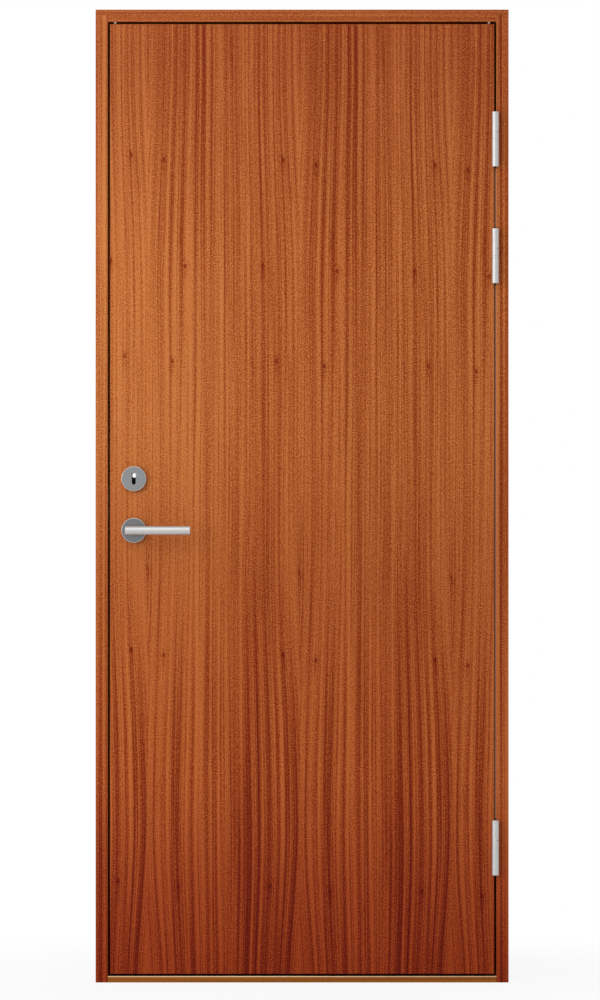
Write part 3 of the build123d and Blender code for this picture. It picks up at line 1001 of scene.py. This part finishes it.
# %% [markdown]
# ## Grub screws in the knuckles
# A small grub screw with a hexagon socket sits in each upper knuckle, towards the jamb, and shows as a
# dark dot. It has no head, so it is a short cylinder with a bevelled rim and a six-sided hole.

# %% Grub screws
bevel_share, socket_share, socket_taper = 0.12, 0.58, 0.8


def grub_screw(radius, length):
    """A socket screw whose outer face is at height 0."""
    bpy.ops.object.select_all(action="DESELECT")
    place = (0, 0, -length / 2)
    bpy.ops.mesh.primitive_cylinder_add(vertices=32, radius=radius, depth=length, location=place)
    grub = bpy.context.object
    edit(grub)
    pick_faces(grub, lambda normal: normal.z > 0.9)
    bpy.ops.mesh.bevel(offset=bevel_share * radius, segments=2)
    bpy.ops.object.mode_set(mode="OBJECT")
    bpy.ops.mesh.primitive_cylinder_add(vertices=6, radius=socket_share * radius, depth=length)
    socket = bpy.context.object
    edit(socket)
    pick_faces(socket, lambda normal: normal.z < -0.9)
    bpy.ops.transform.resize(value=(socket_taper, socket_taper, 1))
    bpy.ops.object.mode_set(mode="OBJECT")
    cut_out(grub, socket)
    return grub


knuckle_radius = 0.0075
seat_angle = 42
seat_above = 0.0155
seat_sunk = 0.0009
knuckle_grub_size = (0.00145, 0.0014)

grub = grub_screw(*knuckle_grub_size)
for hinge in hinges:
    low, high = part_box(f"{hinge}_hinge_leaf_half")
    out = knuckle_radius - seat_sunk
    pin_x = high.x - knuckle_radius + out * sin(radians(seat_angle))
    pin_y = low.y + knuckle_radius - out * cos(radians(seat_angle))
    spot = (pin_x, pin_y, hinge_middle(hinge) + seat_above)
    piece = place_copies(grub, [spot], (90, 0, seat_angle))
    dress(piece, f"{hinge}_knuckle_grub", black_steel, "leaf")
only(grub)
bpy.ops.object.delete()

# %% [markdown]
# ## Grub screws under the levers
# A larger grub screw under the neck clamps each lever to the spindle. It is out of sight from the
# front, and turns with the lever, so it rides on the lever's body.

# %% Lever grub screws
neck_radius = 0.009
neck_reach = 0.014
lever_grub_size = (0.0022, 0.004)

grub = grub_screw(*lever_grub_size)
rose_low, rose_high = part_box("front_lever_rose")
lever_level = (rose_low.z + rose_high.z) / 2
lever_pin_x = (rose_low.x + rose_high.x) / 2
rose_faces = (("front", rose_low.y, -1), ("back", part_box("back_lever_rose")[1].y, 1))
for side, rose_face, step in rose_faces:
    spot = (lever_pin_x, rose_face + step * neck_reach, lever_level - neck_radius)
    piece = place_copies(grub, [spot], (180, 0, 0))
    dress(piece, f"{side}_lever_grub", lock_steel, "lever")
only(grub)
bpy.ops.object.delete()

# %% [markdown]
# ## Rims of the roses
# The front edge of each rose is rolled over and shows as a thin pale ring, whose pale warm colour is a
# painted highlight. It is the sleeve of a short cylinder: both ends are inset, a bridge between them
# opens the middle, and the outer front edge is then bevelled round. The ring stands a tenth of a
# millimetre proud, so that it never flickers against the rose.

# %% Rose rims
rim_wall = 0.0012
rim_deep = 0.0014
rim_round = 0.0007
rim_proud = 0.0001
rim_size = (0.0012, 0.004)

# Painted highlight: the rim steel is paler and warmer than the roses' steel.
rim_highlight_steel, place, (x, y, z) = start_material("rim_highlight_steel")
drawing = drawn_noise(x + z, y, *rim_size, seed=17.0, detail=2.0)
metal(rim_highlight_steel, rim_highlight_colour, rose_rough, drawing, 0.5 * scratch_deep)
rose_radius = (rose_high.x - rose_low.x) / 2 + rim_proud
bpy.ops.object.select_all(action="DESELECT")
spot = (0, 0, -rim_deep / 2)
bpy.ops.mesh.primitive_cylinder_add(vertices=96, radius=rose_radius, depth=rim_deep, location=spot)
rim = bpy.context.object
edit(rim)
pick_faces(rim, lambda normal: abs(normal.z) > 0.9)
bpy.ops.mesh.inset(thickness=rim_wall)
bpy.ops.mesh.bridge_edge_loops()
bpy.ops.mesh.select_mode(type="EDGE")
bpy.ops.mesh.select_all(action="DESELECT")
mesh = bmesh.from_edit_mesh(rim.data)
for edge in mesh.edges:
    on_front = all(vert.co.z > -1e-6 for vert in edge.verts)
    outside = all(Vector(vert.co.xy).length > rose_radius - 1e-6 for vert in edge.verts)
    edge.select_set(on_front and outside)
bmesh.update_edit_mesh(rim.data)
bpy.ops.mesh.bevel(offset=rim_round, segments=3)
bpy.ops.object.mode_set(mode="OBJECT")

for side, face, step, turn in (("front", 0, -1, 90), ("back", 1, 1, -90)):
    for use in ("key", "lever"):
        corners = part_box(f"{side}_{use}_rose")
        middle = (corners[0] + corners[1]) / 2
        spot = (middle.x, corners[face].y + step * rim_proud, middle.z)
        piece = place_copies(rim, [spot], (turn, 0, 0))
        dress(piece, f"{side}_{use}_rim", rim_highlight_steel, "leaf")
only(rim)
bpy.ops.object.delete()

# %% [markdown]
# ## Sleeves in the fixing holes
# The frame is screwed to the wall through holes in its jambs, which show when the leaf stands open.
# Each hole has a steel sleeve that takes the screw and leaves its bore free. Both ends of a cylinder
# are inset, and a bridge between the two new faces opens the bore.

# %% Fixing sleeves
sleeve_radius = 0.0069
sleeve_wall = 0.0016
sleeve_length = 0.018
hole_setback = 0.03
hole_beyond = 0.13
holes_per_jamb = 4

bpy.ops.object.select_all(action="DESELECT")
bpy.ops.mesh.primitive_cylinder_add(vertices=32, radius=sleeve_radius, depth=sleeve_length)
sleeve = bpy.context.object
edit(sleeve)
pick_faces(sleeve, lambda normal: abs(normal.z) > 0.9)
bpy.ops.mesh.inset(thickness=sleeve_wall)
bpy.ops.mesh.bridge_edge_loops()
bpy.ops.object.mode_set(mode="OBJECT")

lowest = hinge_middle("bottom") - hole_beyond
highest = hinge_middle("top") + hole_beyond
hole_pitch = (highest - lowest) / (holes_per_jamb - 1)
levels = [lowest + hole_pitch * step for step in range(holes_per_jamb)]
for jamb, side in (("latch", -1), ("hinge", 1)):
    middle = side * (cad_high.x + rebate) / 2
    spots = [(middle, frame_front + hole_setback, level) for level in levels]
    sleeves = place_copies(sleeve, spots, (0, 90, 0))
    dress(sleeves, f"{jamb}_jamb_sleeves", lock_steel, "frame")
only(sleeve)
bpy.ops.object.delete()

# %% [markdown]
# ## Smoke fins
# Between the hinges the gap beside the leaf is closed by a soft brown fin on the rebate, close to its
# front, which shows as a thin line. Its foot is a long flat bar, and the fin is drawn out of the bar's
# inset face, so that both are one piece.

# %% Smoke fins
fin_setback = 0.0017
fin_foot = 0.0006
fin_deep = 0.0036
fin_reach = 0.0034
fin_wall = 0.0009
fin_round = 0.3 * fin_wall
fin_y = frame_front + fin_setback + fin_deep / 2

for level in ("upper", "lower"):
    low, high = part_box(f"hinge_fire_strip_{level}")
    bpy.ops.object.select_all(action="DESELECT")
    bpy.ops.mesh.primitive_cube_add(
        size=1.0,
        location=(rebate - fin_foot / 2, fin_y, (low.z + high.z) / 2),
        scale=(fin_foot, fin_deep, high.z - low.z),
    )
    fin = bpy.context.object
    edit(fin)
    pick_faces(fin, lambda normal: normal.x < -0.9)
    bpy.ops.mesh.inset(thickness=fin_wall)
    bpy.ops.mesh.extrude_region_move(TRANSFORM_OT_translate={"value": (-fin_reach, 0, 0)})
    bpy.ops.mesh.bevel(offset=fin_round, segments=2)
    bpy.ops.object.mode_set(mode="OBJECT")
    dress(fin, f"smoke_fin_{level}", fire_strip, "frame")

# %% [markdown]
# ## Painted light in the corners
# Light shows through the corners of the gap over the leaf as light dots in the dark line. Two pale
# blocks there are painted light: each is a block whose lower edges are bevelled round, set under the
# head. The second mirrors the first.

# %% Painted light in the corners
leak_size = 0.0046
leak_high = 0.0038
leak_setback = 0.004
leak_round = 0.2 * leak_size
leak_column = 115.2
leak_x = (leak_column - frame_middle_column) * pixel
head_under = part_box("head_fire_strip")[0].z
# Painted light: pale blocks stand for the light that shows through the corners.
painted_light_leak = speckled("painted_light_leak", srgb(206, 186, 158), srgb(226, 208, 184), 0.002, 0.5, 0.00003)

bpy.ops.object.select_all(action="DESELECT")
size = (leak_size, leak_size, leak_high)
bpy.ops.mesh.primitive_cube_add(size=1.0, location=(0, 0, -leak_high / 2), scale=size)
leak_block = bpy.context.object
edit(leak_block)
pick_faces(leak_block, lambda normal: normal.z < -0.9)
bpy.ops.mesh.bevel(offset=leak_round, segments=3)
bpy.ops.object.mode_set(mode="OBJECT")
for side, middle in (("latch", leak_x), ("hinge", -leak_x)):
    spot = (middle, frame_front + leak_setback + leak_size / 2, head_under)
    piece = place_copies(leak_block, [spot], (0, 0, 0))
    dress(piece, f"{side}_corner_light_leak", painted_light_leak, "frame")
only(leak_block)
bpy.ops.object.delete()

# %% [markdown]
# ## Finishing
# The small pieces lie inside the door's own outline, so the box of the dressed door has to be the box
# that was loaded. This last cell only sets the view transform to Standard.

# %% Finish
bpy.context.scene.view_settings.view_transform = "Standard"
